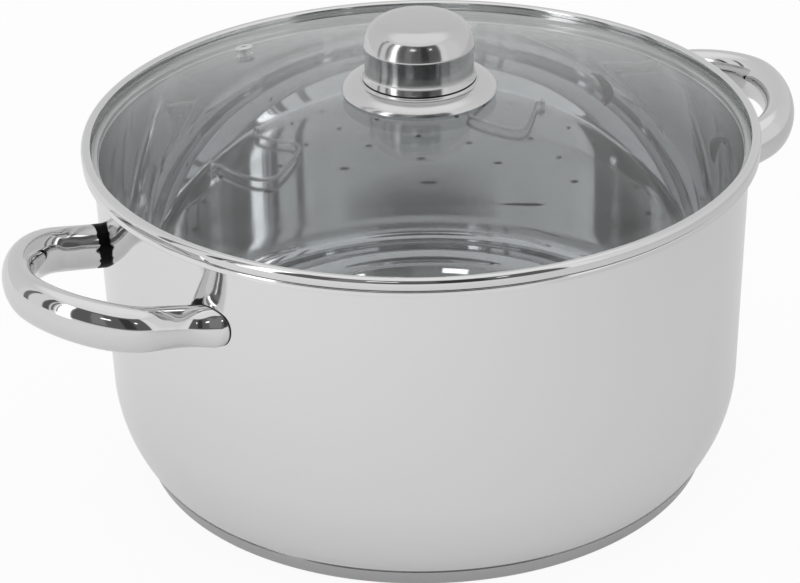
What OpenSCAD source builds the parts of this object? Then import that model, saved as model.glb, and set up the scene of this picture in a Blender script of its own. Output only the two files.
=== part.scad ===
// Water bath canner: a low stainless pot with two tube handles, a glass lid in a
// rolled steel band, and a perforated jar rack on the floor of the pot.
// Millimetres. +Z is up, the base stands on z = 0, and the handles lie along X.

/* [Pot] */
// Outer radius of the wall where the rim begins to flare
mouth_r = 155; // [150:1:156]
// Outer radius of the wall at the top of the bottom corner
heel_r = 153; // [150:1:154]
// Height of the top of the bottom corner
heel_z = 47; // [40:1:55]
// Outer radius of the pot at the seam with the base cap
seam_r = 141.2; // [139:0.2:143]
// Height of that seam
seam_z = 9; // [9:0.5:10]
// Radius of the tight curve between the corner and the flat bottom
sole_r = 8; // [7:0.5:9]
// Height of the top of the rim
rim_z = 162.3; // [155:0.1:170]
// Outer radius of the rim
rim_r = 159.7; // [159:0.1:159.8]
// Thickness of the rim's folded edge
rim_t = 2.2; // [1.6:0.1:2.4]
// Thickness of the drawn sheet
wall_t = 0.9; // [0.7:0.1:1]

/* [Base] */
// Thickness of the steel cap under the base
cap_t = 0.6; // [0.4:0.1:0.6]
// Outer radius of the cap at its upper edge
cap_top_r = 141.5; // [141.5:0.1:142]
// Height of the cap's upper edge
cap_top_z = 8.6; // [8:0.1:8.6]
// Outer radius of the cap at the top of its bottom fillet
cap_side_r = 138.8; // [138.6:0.1:139.2]
// Radius of the cap's bottom fillet
cap_fillet = 2.2; // [1.5:0.1:2.4]
// Radius of the aluminium disc
core_r = 135.5; // [130:0.5:136]

/* [Handles] */
// Half height of the handle tube
tube_r = 10.6; // [9:0.1:11]
// Wall of the handle tube
tube_wall = 1.2; // [1:0.1:1.5]
// Distance from the pot's axis to the outermost point of the tube's centre line
loop_reach = 207.8; // [200:0.2:212]
// Distance from the pot's axis to where the bow of the loop begins
bow_x = 178; // [168:1:180]
// Half width of the bow, centre line
bow_w = 46.2; // [44:0.2:54]
// Half spread of the two ends, centre line
root_w = 48; // [44:0.2:56]
// Height of the tube's centre line at the wall
root_z = 124.8; // [120:0.2:130]
// Rise of the loop from the wall to its outermost point
loop_rise = 14; // [0:1:16]
// Exponent of the bow's outline, where 2 is an ellipse
bow_power = 1.64; // [1.6:0.02:2.2]
// Width of the tube along its arms, as a share of its height
arm_share = 0.82; // [0.7:0.02:1]
// The same share at the outermost point, where the bend has flattened the tube
bow_share = 0.62; // [0.56:0.02:1]

/* [Lid] */
// Outer radius of the lid's steel band
band_r = 160; // [160:0.1:161]
// Thickness of the band's strip
band_t = 0.5; // [0.4:0.1:0.5]
// Inner radius of the band's bead on top of the glass
bead_in_r = 156.2; // [155.6:0.1:156.6]
// Height of that bead above the glass
bead_h = 1.2; // [0.8:0.1:1.5]
// Gap left open all round between the band and the rim
rim_gap = 0.9; // [0.6:0.1:1.2]
// Outer radius of the step on which the band sits on the rim
seat_out_r = 157.2; // [157:0.1:157.6]
// Outer radius of the skirt that drops into the pot
skirt_r = 153.2; // [152:0.1:153.4]
// Depth of the skirt below the rim
skirt_drop = 4.6; // [3:0.1:5]
// Thickness of the glass
glass_t = 3.2; // [3:0.1:3.4]
// Radius of the glass dome's upper surface
dome_r = 555; // [520:5:600]
// Radius at which the dome begins to flatten into its rim
dome_edge_r = 146; // [143:1:147]
// Radius of the curve between dome and flat rim
dome_blend_r = 20; // [16:1:24]
// Distance of the steam vent from the lid's axis
vent_reach = 120.3; // [110:0.1:125]
// Direction of the steam vent, anticlockwise from +X
vent_turn = 104.2; // [0:0.2:359]

/* [Knob] */
// Largest radius of the knob, at its foot
knob_foot_r = 26.8; // [26.6:0.1:27]
// Radius of the knob's waist
knob_waist_r = 25.6; // [25.5:0.1:25.8]
// Radius of the knob's shoulder, where its crown begins
knob_shoulder_r = 26.3; // [26.2:0.1:26.8]
// Height of the shoulder above the foot
knob_shoulder_h = 16.1; // [15:0.1:17]
// Height of the crown above the shoulder
knob_crown_h = 10.3; // [9:0.1:11]
// Sheet thickness of the knob's shell
knob_sheet = 0.7; // [0.5:0.1:0.8]
// Outer radius of the flange plate under the knob
bezel_r = 36.6; // [36:0.1:38]
// Height of the flange plate's rolled edge
bezel_roll_h = 3.2; // [2.4:0.1:3.3]
// Radius of the raised collar of the flange plate
collar_r = 27.5; // [27.4:0.1:27.8]
// Height of the flange plate's collar above its plate
collar_h = 2.1; // [1.6:0.1:2.4]
// Radius of the screw's shank
screw_r = 2.5; // [2:0.5:2.5]

/* [Jar rack] */
// Outer radius of the rack plate
rack_r = 128; // [110:1:129]
// Thickness of the rack plate
rack_t = 1; // [0.8:0.1:1.2]
// Depth of the plate's turned-down edge
rack_edge = 5; // [3:0.5:6]
// Height of the plate's underside above the feet
rack_stand = 6; // [5.5:0.5:8]
// Radius of the holes in the plate
rack_hole_r = 2.2; // [1.5:0.1:3]
// Distance between the rings of holes
rack_hole_pitch = 36; // [28:1:36]
// Number of rings of holes round the middle one
rack_hole_rings = 3; // [1:1:3]
// Number of feet
rack_feet_count = 4; // [3:1:6]
// Distance of the bails' pivots from the pot's axis
bail_x = 112; // [108:1:114]
// Half spread of a bail's lugs
lug_y = 36; // [30:1:38]
// Length of a bail from its pivot to its grip
bail_reach = 48; // [40:1:52]
// Radius of the bail's wire
bail_wire_r = 1.25; // [1:0.05:1.25]

/* [Hidden] */
$fn = 64;

steel = "gainsboro";
dark_steel = "darkgray";

// Bottom corner: a wide curve from the wall to the seam, then the tight sole curve
corner_dx = heel_r - seam_r;
corner_dz = heel_z - seam_z;
corner_r = (corner_dx * corner_dx + corner_dz * corner_dz) / (2 * corner_dx);
corner_turn = asin(corner_dz / corner_r);
corner_c = [heel_r - corner_r, heel_z];
sole_c = [seam_r - sole_r * cos(corner_turn), seam_z + sole_r * sin(corner_turn)];
under_z = sole_c[1] - sole_r;
floor_z = under_z + wall_t;

// Rim: the sheet flares outwards and ends in a folded edge
lip_c = [rim_r - rim_t / 2, rim_z - rim_t / 2];
flare_r = lip_c[0] - 0.5 - mouth_r;
flare_z = rim_z - rim_t - flare_r;
seat_r = lip_c[0] - 2;

// Handle: arms from the wall, then the bow
arm_x = 140;
root_x = sqrt(mouth_r * mouth_r - root_w * root_w);
tube_sides = 24;
bore_sides = 12;

// Lid: the glass rests in the band, and the band rests on the rim
glass_edge_r = band_r - band_t - 0.2;
flange_low_z = rim_z + rim_gap + band_t;
flange_top_z = flange_low_z + glass_t;
dome_turn = asin(dome_edge_r / dome_r);
dome_sag = dome_r * (1 - cos(dome_turn));
blend_drop = dome_blend_r * (1 - cos(dome_turn));
apex_z = flange_top_z + blend_drop + dome_sag;
blend_c = [dome_edge_r + dome_blend_r * sin(dome_turn), flange_top_z + dome_blend_r];
dome_c_z = apex_z - dome_r;
glass_hole_r = 4.5;
dome_steps = 14;
vent_hole_r = 3;
vent_tilt = asin(vent_reach / dome_r);

// Knob stack, from the glass up
plate_t = 0.6;
well_r = 22.4;
well_z = apex_z + 0.9;
plate_top_z = well_z + 2;
collar_z = plate_top_z + collar_h;
knob_gap = 0.7;
knob_z = collar_z + knob_gap;
shoulder_z = knob_z + knob_shoulder_h;
knob_top_z = shoulder_z + knob_crown_h;
nut_r = 4.5;
nut_z = knob_z + 5;
nut_h = 9;

// Screw stack, from the glass down
under_glass_z = apex_z - glass_t;
pad_t = 1.5;
washer_t = 1.2;
lock_t = 1;
washer_z = under_glass_z - pad_t - washer_t;
lock_z = washer_z - lock_t;
head_h = 2.8;
head_r = 5;
screw_top_z = nut_z + nut_h - 1;

// Rack, from the floor of the pot up
foot_clear = 0.3;
foot_low_z = floor_z + foot_clear;
rack_low_z = foot_low_z + rack_stand;
rack_top_z = rack_low_z + rack_t;
rack_bend_r = 3;
lug_t = 1.5;
lug_r = 3.2;
lug_bore_r = bail_wire_r + 0.08;
pivot_z = rack_top_z + lug_r + 0.1;
bail_bend_r = 10;
bail_arm_y = lug_y - 6;
pin_end_y = lug_y + 4;

// Points on an arc about [x, y], from angle a to angle b
function arc(c, r, a, b, n) =
    [for (i = [0:n]) let (t = a + (b - a) * i / n) c + r * [cos(t), sin(t)]];

// Points on a quarter ellipse about [x, y]
function oval(c, rx, ry, a, b, n) =
    [for (i = [0:n]) let (t = a + (b - a) * i / n) [c[0] + rx * cos(t), c[1] + ry * sin(t)]];

function unit(v) = v / norm(v);

function tangent(path, i) =
    unit(path[min(i + 1, len(path) - 1)] - path[max(i - 1, 0)]);

// A tube of radius r along a path that stays near level: rings of points joined by
// triangles, each ring scaled upwards by high[i] and sideways by wide[i]
module swept_tube(path, r, sides, high, wide) {
    rings = [for (i = [0:len(path) - 1])
        let (t = tangent(path, i),
             side = unit(cross(t, [0, 0, 1])),
             up = cross(side, t))
        for (j = [0:sides - 1])
            let (a = 360 * j / sides) path[i] + r * (side * cos(a) * wide[i] + up * sin(a) * high[i])];
    last = len(path) - 1;
    polyhedron(
        points = rings,
        faces = concat(
            [[for (j = [sides - 1:-1:0]) j]],
            [[for (j = [0:sides - 1]) last * sides + j]],
            [for (i = [0:last - 1]) for (j = [0:sides - 1])
                let (a = i * sides + j, b = i * sides + (j + 1) % sides)
                [a, b, a + sides]],
            [for (i = [0:last - 1]) for (j = [0:sides - 1])
                let (a = i * sides + j, b = i * sides + (j + 1) % sides)
                [b, b + sides, a + sides]]));
}

// ---- Pot ----

pot_outside = concat(
    arc(sole_c, sole_r, -90, -corner_turn, 5),
    arc(corner_c, corner_r, -corner_turn, 0, 12),
    arc([mouth_r + flare_r, flare_z], flare_r, 180, 90, 6));

module pot_body() {
    color(steel) rotate_extrude($fn = 128)
        polygon(concat(
            [[0, under_z]],
            pot_outside,
            arc(lip_c, rim_t / 2, -90, 90, 6),
            oval([seat_r, flare_z], seat_r - mouth_r + wall_t, rim_z - flare_z, 90, 180, 6),
            arc(corner_c, corner_r - wall_t, 0, -corner_turn, 12),
            arc(sole_c, sole_r - wall_t, -corner_turn, -90, 5),
            [[0, floor_z]]));
}

// The pot as a solid, for trimming what is welded to its wall
module pot_blank() {
    rotate_extrude($fn = 128)
        polygon([[0, heel_z], [heel_r, heel_z], [mouth_r, flare_z], [0, flare_z]]);
}

module base_core() {
    color("silver") translate([0, 0, cap_t])
        cylinder(r = core_r, h = under_z - cap_t, $fn = 128);
}

module base_cap() {
    inner_fillet = cap_fillet - cap_t;
    color(dark_steel) rotate_extrude($fn = 128)
        polygon(concat(
            [[0, 0]],
            arc([cap_side_r - cap_fillet, cap_fillet], cap_fillet, -90, 0, 5),
            [[cap_top_r, cap_top_z], [cap_top_r - cap_t, cap_top_z]],
            arc([cap_side_r - cap_fillet, cap_fillet], inner_fillet, 0, -90, 5),
            [[0, cap_t]]));
}

// ---- Handles ----

// Half of the tube's centre line in plan, from the wall to the outermost point
bow_steps = 14;
half_loop = concat(
    [for (x = concat(arm_x, [for (d = [0, 4, 8, 13, 18]) root_x + d]))
        [x, root_w + (bow_w - root_w) * (x - arm_x) / (bow_x - arm_x)]],
    [for (i = [0:bow_steps]) let (a = 90 * i / bow_steps)
        [bow_x + (loop_reach - bow_x) * pow(sin(a), 2 / bow_power),
         bow_w * pow(cos(a), 2 / bow_power)]]);

// The tube is pressed into a neck near the wall, from below, and flares where it is
// welded: share of its full height and width and lift, by distance from the wall
neck_height = [[0, 0.88], [4, 0.82], [9, 0.8], [16, 0.87], [26, 1]];
neck_width = [[0, 1.06], [4, 0.97], [9, 0.94], [16, 0.97], [26, 1]];
neck_lift = [[0, 0.8], [4, 1.2], [9, 1.4], [16, 0.9], [26, 0]];

// Whole centre line, rising evenly towards the outside
loop_points = [for (i = [0:2 * len(half_loop) - 2])
    let (k = i < len(half_loop) ? i : 2 * len(half_loop) - 2 - i,
         p = half_loop[k],
         s = (p[0] - arm_x) / (loop_reach - arm_x))
    [p[0], (i < len(half_loop) ? -1 : 1) * p[1],
     root_z + loop_rise * s + lookup(p[0] - root_x, neck_lift)]];

// Share of the tube's full height and width at each point of the loop
loop_high = [for (p = loop_points) lookup(p[0] - root_x, neck_height)];
loop_wide = [for (p = loop_points)
    lookup(p[0] - root_x, neck_width) * lookup(p[0], [[bow_x - 8, arm_share], [loop_reach, bow_share]])];

module handle() {
    color(steel) difference() {
        swept_tube(loop_points, tube_r, tube_sides, loop_high, loop_wide);
        swept_tube(loop_points, tube_r - tube_wall, bore_sides, loop_high, loop_wide);
        pot_blank();
    }
}

module right_handle() {
    handle();
}

module left_handle() {
    mirror([1, 0, 0]) handle();
}

// ---- Lid ----

// Dome, blend and flat rim of one face of the glass, drop below the upper face
function glass_face(drop, n) = concat(
    [for (i = [0:n])
        let (r = glass_hole_r + (dome_edge_r * (dome_r - drop) / dome_r - glass_hole_r) * i / n)
        [r, dome_c_z + sqrt(pow(dome_r - drop, 2) - r * r)]],
    [for (i = [1:3]) let (a = 270 - dome_turn * (1 - i / 3))
        blend_c + (dome_blend_r + drop) * [cos(a), sin(a)]]);

module lid_glass() {
    lower = glass_face(glass_t, dome_steps);
    color("lightcyan", 0.35) difference() {
        rotate_extrude($fn = 128)
            polygon(concat(
                glass_face(0, dome_steps),
                [[glass_edge_r - 1.2, flange_top_z],
                 [glass_edge_r, flange_top_z - 1.2],
                 [glass_edge_r, flange_low_z + 0.6],
                 [glass_edge_r - 0.6, flange_low_z]],
                [for (i = [len(lower) - 1:-1:0]) lower[i]]));
        at_vent() translate([0, 0, -5]) cylinder(r = vent_hole_r, h = 10, $fn = 32);
    }
}

// Places a child on the dome's upper face at the vent, square to the glass
module at_vent() {
    translate([0, 0, dome_c_z]) rotate([0, 0, vent_turn]) rotate([0, vent_tilt, 0])
        translate([0, 0, dome_r]) children();
}

// The strip's outside runs from the bead over the glass down to the step that sits on
// the rim, and ends in the skirt; its inside comes back one strip thickness away
module lid_band() {
    bead_half = (band_r - bead_in_r) / 2;
    bead_c = [band_r - bead_half, flange_top_z];
    band_low_z = rim_z + rim_gap;
    skirt_z = rim_z - skirt_drop;
    color(steel) rotate_extrude($fn = 128)
        polygon(concat(
            oval(bead_c, bead_half, bead_h, 180, 0, 8),
            arc([band_r - 0.8, band_low_z + 0.8], 0.8, 0, -90, 3),
            [[seat_out_r, band_low_z], [seat_out_r, rim_z]],
            arc([skirt_r + 0.6, rim_z - 0.6], 0.6, 90, 180, 3),
            arc([skirt_r - 1.5, skirt_z + 1.5], 1.5, 0, -60, 3),
            arc([skirt_r - 1.5, skirt_z + 1.5], 1.5 - band_t, -60, 0, 3),
            [[skirt_r - band_t, rim_z + band_t], [seat_out_r - band_t, rim_z + band_t],
             [seat_out_r - band_t, flange_low_z]],
            arc([band_r - 0.8, band_low_z + 0.8], 0.3, -90, 0, 3),
            oval(bead_c, bead_half - band_t, bead_h - band_t, 0, 180, 8)));
}

module vent_eyelet() {
    tube_out = vent_hole_r - 0.15;
    bore = 1.6;
    color(steel) at_vent() difference() {
        rotate_extrude($fn = 48)
            polygon([[bore, 0.9], [2.4, 1.1], [3.6, 1], [4.75, 0.3], [4.75, 0],
                     [tube_out, 0], [tube_out, -glass_t - 0.05], [4.2, -glass_t - 0.05],
                     [4.2, -glass_t - 0.5], [2.6, -glass_t - 0.8], [bore, -glass_t - 0.6]]);
    }
}

// ---- Knob ----

// Crown of the knob: distance from the axis and height above the shoulder, as shares of
// the shoulder's radius and of the crown's height
crown = [[1, 0], [0.985, 0.126], [0.947, 0.33], [0.882, 0.534], [0.783, 0.718], [0.639, 0.854],
         [0.418, 0.951], [0.19, 0.99], [0, 1]];

// Side of the knob from its foot to its crown, moved inwards by t
function knob_side(t) = concat(
    [[knob_foot_r - t, knob_z],
     [knob_foot_r - 0.5 - t, knob_z + 1.2],
     [knob_waist_r + 0.1 - t, knob_z + 3.4],
     [knob_waist_r - t, knob_z + 7],
     [knob_waist_r + 0.15 - t, knob_z + 10.5]],
    [for (p = crown) [p[0] * (knob_shoulder_r - t), shoulder_z + p[1] * (knob_crown_h - t)]]);

module knob_shell() {
    inner = knob_side(knob_sheet);
    color(steel) rotate_extrude($fn = 96)
        polygon(concat(knob_side(0), [for (i = [len(inner) - 1:-1:0]) inner[i]]));
}

// Heat-resistant filler inside the shell, with the seat for the nut
module knob_core() {
    inner = knob_side(knob_sheet);
    shaft_r = screw_r + 0.3;
    color("dimgray") rotate_extrude($fn = 96)
        polygon(concat(
            [[shaft_r, well_z + plate_t], [well_r - 0.8, well_z + plate_t], [well_r - 0.8, collar_z],
             [knob_foot_r - 1, collar_z], [knob_foot_r - 1, knob_z]],
            inner,
            [[0, nut_z + nut_h], [nut_r, nut_z + nut_h], [nut_r, nut_z], [shaft_r, nut_z]]));
}

module knob_nut() {
    color("goldenrod") translate([0, 0, nut_z]) difference() {
        cylinder(r = nut_r, h = nut_h, $fn = 48);
        translate([0, 0, -1]) cylinder(r = screw_r, h = nut_h + 2, $fn = 48);
    }
}

// Flange plate: a well over the glass, a raised collar, a flat ring, and a rolled edge
// that comes down to the glass
module knob_bezel() {
    roll_w = 3.4;
    roll_c = [bezel_r - roll_w, plate_top_z - 0.2 - bezel_roll_h];
    hole_r = screw_r + 0.5;
    color(steel) rotate_extrude($fn = 128)
        polygon(concat(
            [[hole_r, well_z], [well_r, well_z], [well_r, collar_z - plate_t],
             [collar_r - plate_t, collar_z - plate_t], [collar_r - plate_t, plate_top_z - plate_t]],
            oval(roll_c, roll_w - plate_t, bezel_roll_h - plate_t, 90, 0, 6),
            oval(roll_c, roll_w, bezel_roll_h, 0, 90, 7),
            [[collar_r + 0.5, plate_top_z], [collar_r, plate_top_z + 0.5]],
            arc([collar_r - 0.5, collar_z - 0.5], 0.5, 0, 90, 3),
            [[well_r - plate_t, collar_z], [well_r - plate_t, well_z + plate_t], [hole_r, well_z + plate_t]]));
}

// ---- Lid fastening ----

// Points of the glass surface between two radii, drop below the upper face
function glass_between(drop, from, to) =
    let (face = glass_face(drop, dome_steps))
    concat([[from, lookup(from, face)]],
           [for (p = face) if (p[0] > from && p[0] < to) p],
           [[to, lookup(to, face)]]);

module upper_gasket() {
    color("black") rotate_extrude($fn = 96)
        polygon(concat(
            glass_between(0, glass_hole_r, well_r - 1.4),
            [[well_r - 1.4, well_z], [glass_hole_r, well_z]]));
}

module lower_gasket() {
    low_z = washer_z + washer_t;
    pad_r = 12;
    color("black") rotate_extrude($fn = 96)
        polygon(concat(
            glass_between(glass_t, glass_hole_r, pad_r),
            [[pad_r, low_z], [glass_hole_r, low_z]]));
}

module ring_plate(outer, inner, h, z) {
    translate([0, 0, z]) difference() {
        cylinder(r = outer, h = h, $fn = 64);
        translate([0, 0, -1]) cylinder(r = inner, h = h + 2, $fn = 64);
    }
}

module glass_bush() {
    bush_low = washer_z + washer_t;
    color("whitesmoke") ring_plate(glass_hole_r - 0.1, screw_r + 0.2, well_z - bush_low, bush_low);
}

module screw_washer() {
    color(steel) ring_plate(10.5, screw_r + 0.2, washer_t, washer_z);
}

module lock_washer() {
    gap = 1;
    color(dark_steel) difference() {
        ring_plate(4.4, screw_r + 0.1, lock_t, lock_z);
        translate([0, -gap / 2, lock_z - 1]) cube([6, gap, lock_t + 2]);
    }
}

// Pan-head screw with a crossed slot, entered from inside the lid
module lid_screw() {
    slot_w = 1.1;
    slot_len = 5.4;
    head_low = lock_z - head_h;
    color(steel) difference() {
        rotate_extrude($fn = 64)
            polygon([[0, head_low], [3, head_low + 0.2], [4.4, head_low + 0.9], [head_r, head_low + 1.9],
                     [head_r, lock_z], [screw_r, lock_z], [screw_r, screw_top_z - 0.6],
                     [screw_r - 0.6, screw_top_z], [0, screw_top_z]]);
        for (turn = [0, 90])
            rotate([0, 0, turn]) translate([-slot_len / 2, -slot_w / 2, head_low - 1])
                cube([slot_len, slot_w, 2.4]);
    }
}

// ---- Jar rack ----

// Pressed plate with a turned-down edge and rings of holes, six more in each ring
module rack_plate() {
    bend_c = [rack_r - rack_bend_r, rack_top_z - rack_bend_r];
    color(steel) difference() {
        rotate_extrude($fn = 128)
            polygon(concat(
                [[0, rack_top_z]],
                arc(bend_c, rack_bend_r, 90, 0, 4),
                [[rack_r, rack_top_z - rack_edge], [rack_r - rack_t, rack_top_z - rack_edge]],
                arc(bend_c, rack_bend_r - rack_t, 0, 90, 4),
                [[0, rack_low_z]]));
        rack_hole(0, 0);
        for (ring = [1:rack_hole_rings])
            for (i = [0:6 * ring - 1]) rack_hole(ring * rack_hole_pitch, 60 * i / ring);
    }
}

module rack_hole(reach, turn) {
    rotate([0, 0, turn]) translate([reach, 0, rack_low_z - 1])
        cylinder(r = rack_hole_r, h = rack_t + 2, $fn = 32);
}

// Each foot is a strip bent into a U, its turned-out ends welded under the plate
module rack_feet() {
    strip_t = 1;
    foot_w = 10;
    half = [[4, 0], [6, rack_stand - strip_t], [12, rack_stand - strip_t], [12, rack_stand],
            [5.2, rack_stand], [3.2, strip_t]];
    outline = concat(half, [for (i = [len(half) - 1:-1:0]) [-half[i][0], half[i][1]]]);
    color(steel) for (i = [0:rack_feet_count - 1])
        rotate([0, 0, 360 * (i + 0.5) / rack_feet_count])
            translate([rack_r - 17, 0, foot_low_z]) rotate([90, 0, 90])
                linear_extrude(foot_w) polygon(outline);
}

// Upright ears with a bore for the bail's pins, each on a small welded foot
module rack_bail_lugs() {
    color(steel) for (x = [-bail_x, bail_x], side = [-1, 1])
        translate([x, side * lug_y, rack_top_z]) mirror([0, side < 0 ? 1 : 0, 0]) difference() {
            union() {
                translate([0, lug_t / 2, 0]) rotate([90, 0, 0]) linear_extrude(lug_t)
                    polygon(concat([[-lug_r, 0], [lug_r, 0]],
                                   arc([0, pivot_z - rack_top_z], lug_r, 0, 180, 12)));
                translate([-lug_r, -lug_t / 2, 0]) cube([2 * lug_r, 6, 1]);
            }
            translate([0, 0, pivot_z - rack_top_z]) rotate([90, 0, 0])
                cylinder(r = lug_bore_r, h = 4 * lug_t, center = true, $fn = 32);
        }
}

// Folding bail: two pins through the lugs, and a bent wire that lies flat inwards
bail_corner = [bail_arm_y - bail_bend_r, bail_bend_r - bail_reach];
bail_wire = concat(
    [[0, bail_arm_y, 0]],
    [for (p = arc([bail_corner[1], bail_corner[0]], bail_bend_r, 90, 180, 5)) [p[0], p[1], 0]],
    [for (p = arc([bail_corner[1], -bail_corner[0]], bail_bend_r, 180, 270, 5)) [p[0], p[1], 0]],
    [[0, -bail_arm_y, 0]]);
even = [for (p = bail_wire) 1];

module bail() {
    pin_len = pin_end_y - bail_arm_y + bail_wire_r;
    color(dark_steel) {
        swept_tube(bail_wire, bail_wire_r - 0.05, 12, even, even);
        for (side = [-1, 1])
            translate([0, side * (pin_end_y - pin_len / 2), 0]) rotate([90, 0, 0])
                cylinder(r = bail_wire_r, h = pin_len, center = true, $fn = 32);
    }
}

module rack_right_bail() {
    translate([bail_x, 0, pivot_z]) bail();
}

module rack_left_bail() {
    translate([-bail_x, 0, pivot_z]) mirror([1, 0, 0]) bail();
}

pot_body();
base_core();
base_cap();
left_handle();
right_handle();
lid_glass();
lid_band();
vent_eyelet();
knob_shell();
knob_core();
knob_nut();
knob_bezel();
upper_gasket();
lower_gasket();
glass_bush();
screw_washer();
lock_washer();
lid_screw();
rack_plate();
rack_feet();
rack_bail_lugs();
rack_left_bail();
rack_right_bail();
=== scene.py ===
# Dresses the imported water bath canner: polished steel, clear glass, and a plain studio round it.
import math

import bmesh
import bpy
import numpy as np
from mathutils import Matrix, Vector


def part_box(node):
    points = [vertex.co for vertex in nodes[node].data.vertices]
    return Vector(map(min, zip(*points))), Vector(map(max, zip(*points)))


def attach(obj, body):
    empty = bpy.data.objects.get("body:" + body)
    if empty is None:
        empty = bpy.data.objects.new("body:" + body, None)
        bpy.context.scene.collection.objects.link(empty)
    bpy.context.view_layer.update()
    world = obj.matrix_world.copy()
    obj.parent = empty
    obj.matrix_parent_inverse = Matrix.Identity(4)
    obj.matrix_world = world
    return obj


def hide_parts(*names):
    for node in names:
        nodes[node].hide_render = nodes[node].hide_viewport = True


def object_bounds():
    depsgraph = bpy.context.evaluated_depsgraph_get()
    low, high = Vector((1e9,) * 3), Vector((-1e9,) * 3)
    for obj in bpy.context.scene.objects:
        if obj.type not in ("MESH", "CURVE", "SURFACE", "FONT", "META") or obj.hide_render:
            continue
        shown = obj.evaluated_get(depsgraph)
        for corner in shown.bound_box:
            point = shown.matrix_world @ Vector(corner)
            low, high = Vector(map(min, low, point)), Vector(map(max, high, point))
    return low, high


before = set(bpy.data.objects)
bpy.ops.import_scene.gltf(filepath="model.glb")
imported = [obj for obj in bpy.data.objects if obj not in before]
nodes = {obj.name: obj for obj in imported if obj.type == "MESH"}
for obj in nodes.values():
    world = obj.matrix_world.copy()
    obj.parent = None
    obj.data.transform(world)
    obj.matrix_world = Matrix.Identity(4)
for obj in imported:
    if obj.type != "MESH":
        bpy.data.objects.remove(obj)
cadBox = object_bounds()

mm = 0.001


# Shapes are worked out in millimetres.

# Points of an ellipse arc about (r, z), from angle a to angle b in degrees:
# r + rx cos t, z + rz sin t
def arc(centre, rx, rz, a, b, steps):
    t = np.radians(np.linspace(a, b, steps + 1))
    return np.stack([centre[0] + rx * np.cos(t), centre[1] + rz * np.sin(t)], axis=1)


# Joins stretches of an outline and leaves out points that lie on the one before
def outline(*parts):
    points = np.concatenate([np.atleast_2d(np.array(part, float)) for part in parts])
    gap = np.linalg.norm(np.diff(points, axis=0), axis=1)
    return points[np.concatenate([[True], gap > 1e-4])]


# Catmull-Rom curve through the points: on each stretch a cubic blend of its two ends
# and of the slopes there
def smoothCurve(points, steps):
    p = np.array(points, float)
    slope = np.gradient(p, axis=0)
    place = np.linspace(0, len(p) - 1, (len(p) - 1) * steps + 1)
    i = np.minimum(place.astype(int), len(p) - 2)
    t = (place - i)[:, None]
    return ((2 * t**3 - 3 * t**2 + 1) * p[i] + (t**3 - 2 * t**2 + t) * slope[i]
            + (3 * t**2 - 2 * t**3) * p[i + 1] + (t**3 - t**2) * slope[i + 1])


# A solid from a grid of points: each cell is a four-sided face, the grid closes on itself
# around its second way, and around its first way where ring is true. Points that meet are
# merged, and edges that turn by more than sharp degrees stay crisp
def gridSolid(name, grid, body, ring=False, sharp=50):
    rows, sides = grid.shape[:2]
    i, j = np.meshgrid(np.arange(rows if ring else rows - 1), np.arange(sides), indexing="ij")
    down, on = (i + 1) % rows, (j + 1) % sides
    faces = np.stack([i * sides + j, i * sides + on, down * sides + on, down * sides + j], axis=-1)
    mesh = bpy.data.meshes.new(name)
    mesh.from_pydata((grid.reshape(-1, 3) * mm).tolist(), [], faces.reshape(-1, 4).tolist())
    work = bmesh.new()
    work.from_mesh(mesh)
    bmesh.ops.remove_doubles(work, verts=work.verts, dist=1e-7)
    bmesh.ops.recalc_face_normals(work, faces=work.faces)
    work.to_mesh(mesh)
    work.free()
    mesh.shade_smooth()
    mesh.set_sharp_from_angle(angle=math.radians(sharp))
    piece = bpy.data.objects.new(name, mesh)
    bpy.context.scene.collection.objects.link(piece)
    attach(piece, body)
    return piece


# Turns an outline of (radius, height) points about the Z axis: x = r cos t, y = r sin t
def turned(points, sides):
    t = np.linspace(0, 2 * np.pi, sides, endpoint=False)
    r, z = points[:, 0][:, None], points[:, 1][:, None]
    return np.stack([r * np.cos(t), r * np.sin(t), z + 0 * t], axis=-1)


# Carries a ring along a path: point + side * cos t * wide + up * sin t * high,
# where side lies level across the path and up stands square to both
def carried(path, wide, high, sides):
    along = np.gradient(path, axis=0)
    along /= np.linalg.norm(along, axis=1)[:, None]
    side = np.cross(along, [0, 0, 1])
    side /= np.linalg.norm(side, axis=1)[:, None]
    up = np.cross(side, along)
    t = np.linspace(0, 2 * np.pi, sides, endpoint=False)
    return (path[:, None] + side[:, None] * (np.cos(t) * wide[:, None])[..., None]
            + up[:, None] * (np.sin(t) * high[:, None])[..., None])


# Lowest and highest corner of a node's box
def sizeOf(node):
    low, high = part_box(node)
    return np.array(low) / mm, np.array(high) / mm


# sRGB hex to linear: v / 12.92 for the darkest, ((v + 0.055) / 1.055)^2.4 above them
def colour(text):
    v = np.array([int(text[i:i + 2], 16) for i in (1, 3, 5)]) / 255
    v = np.where(v <= 0.04045, v / 12.92, ((v + 0.055) / 1.055) ** 2.4)
    return (*v.tolist(), 1.0)


# Adds a node, sets its properties, and fills or links its inputs
def addNode(tree, kind, inputs=None, **settings):
    node = tree.nodes.new(kind)
    for key, value in settings.items():
        setattr(node, key, value)
    for key, value in (inputs or {}).items():
        if isinstance(value, bpy.types.NodeSocket):
            tree.links.new(value, node.inputs[key])
        else:
            node.inputs[key].default_value = value
    return node


# An empty material, its tree and its output
def newMaterial(name):
    material = bpy.data.materials.new(name)
    material.use_nodes = True
    tree = material.node_tree
    tree.nodes.clear()
    return material, tree, addNode(tree, "ShaderNodeOutputMaterial")


# Distance from the pot's axis: the length of (x, y, 0)
def radiusOf(tree, place):
    flat = addNode(tree, "ShaderNodeVectorMath", {0: place, 1: (1, 1, 0)}, operation="MULTIPLY")
    length = addNode(tree, "ShaderNodeVectorMath", {0: flat.outputs[0]}, operation="LENGTH")
    return length.outputs["Value"]


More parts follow.
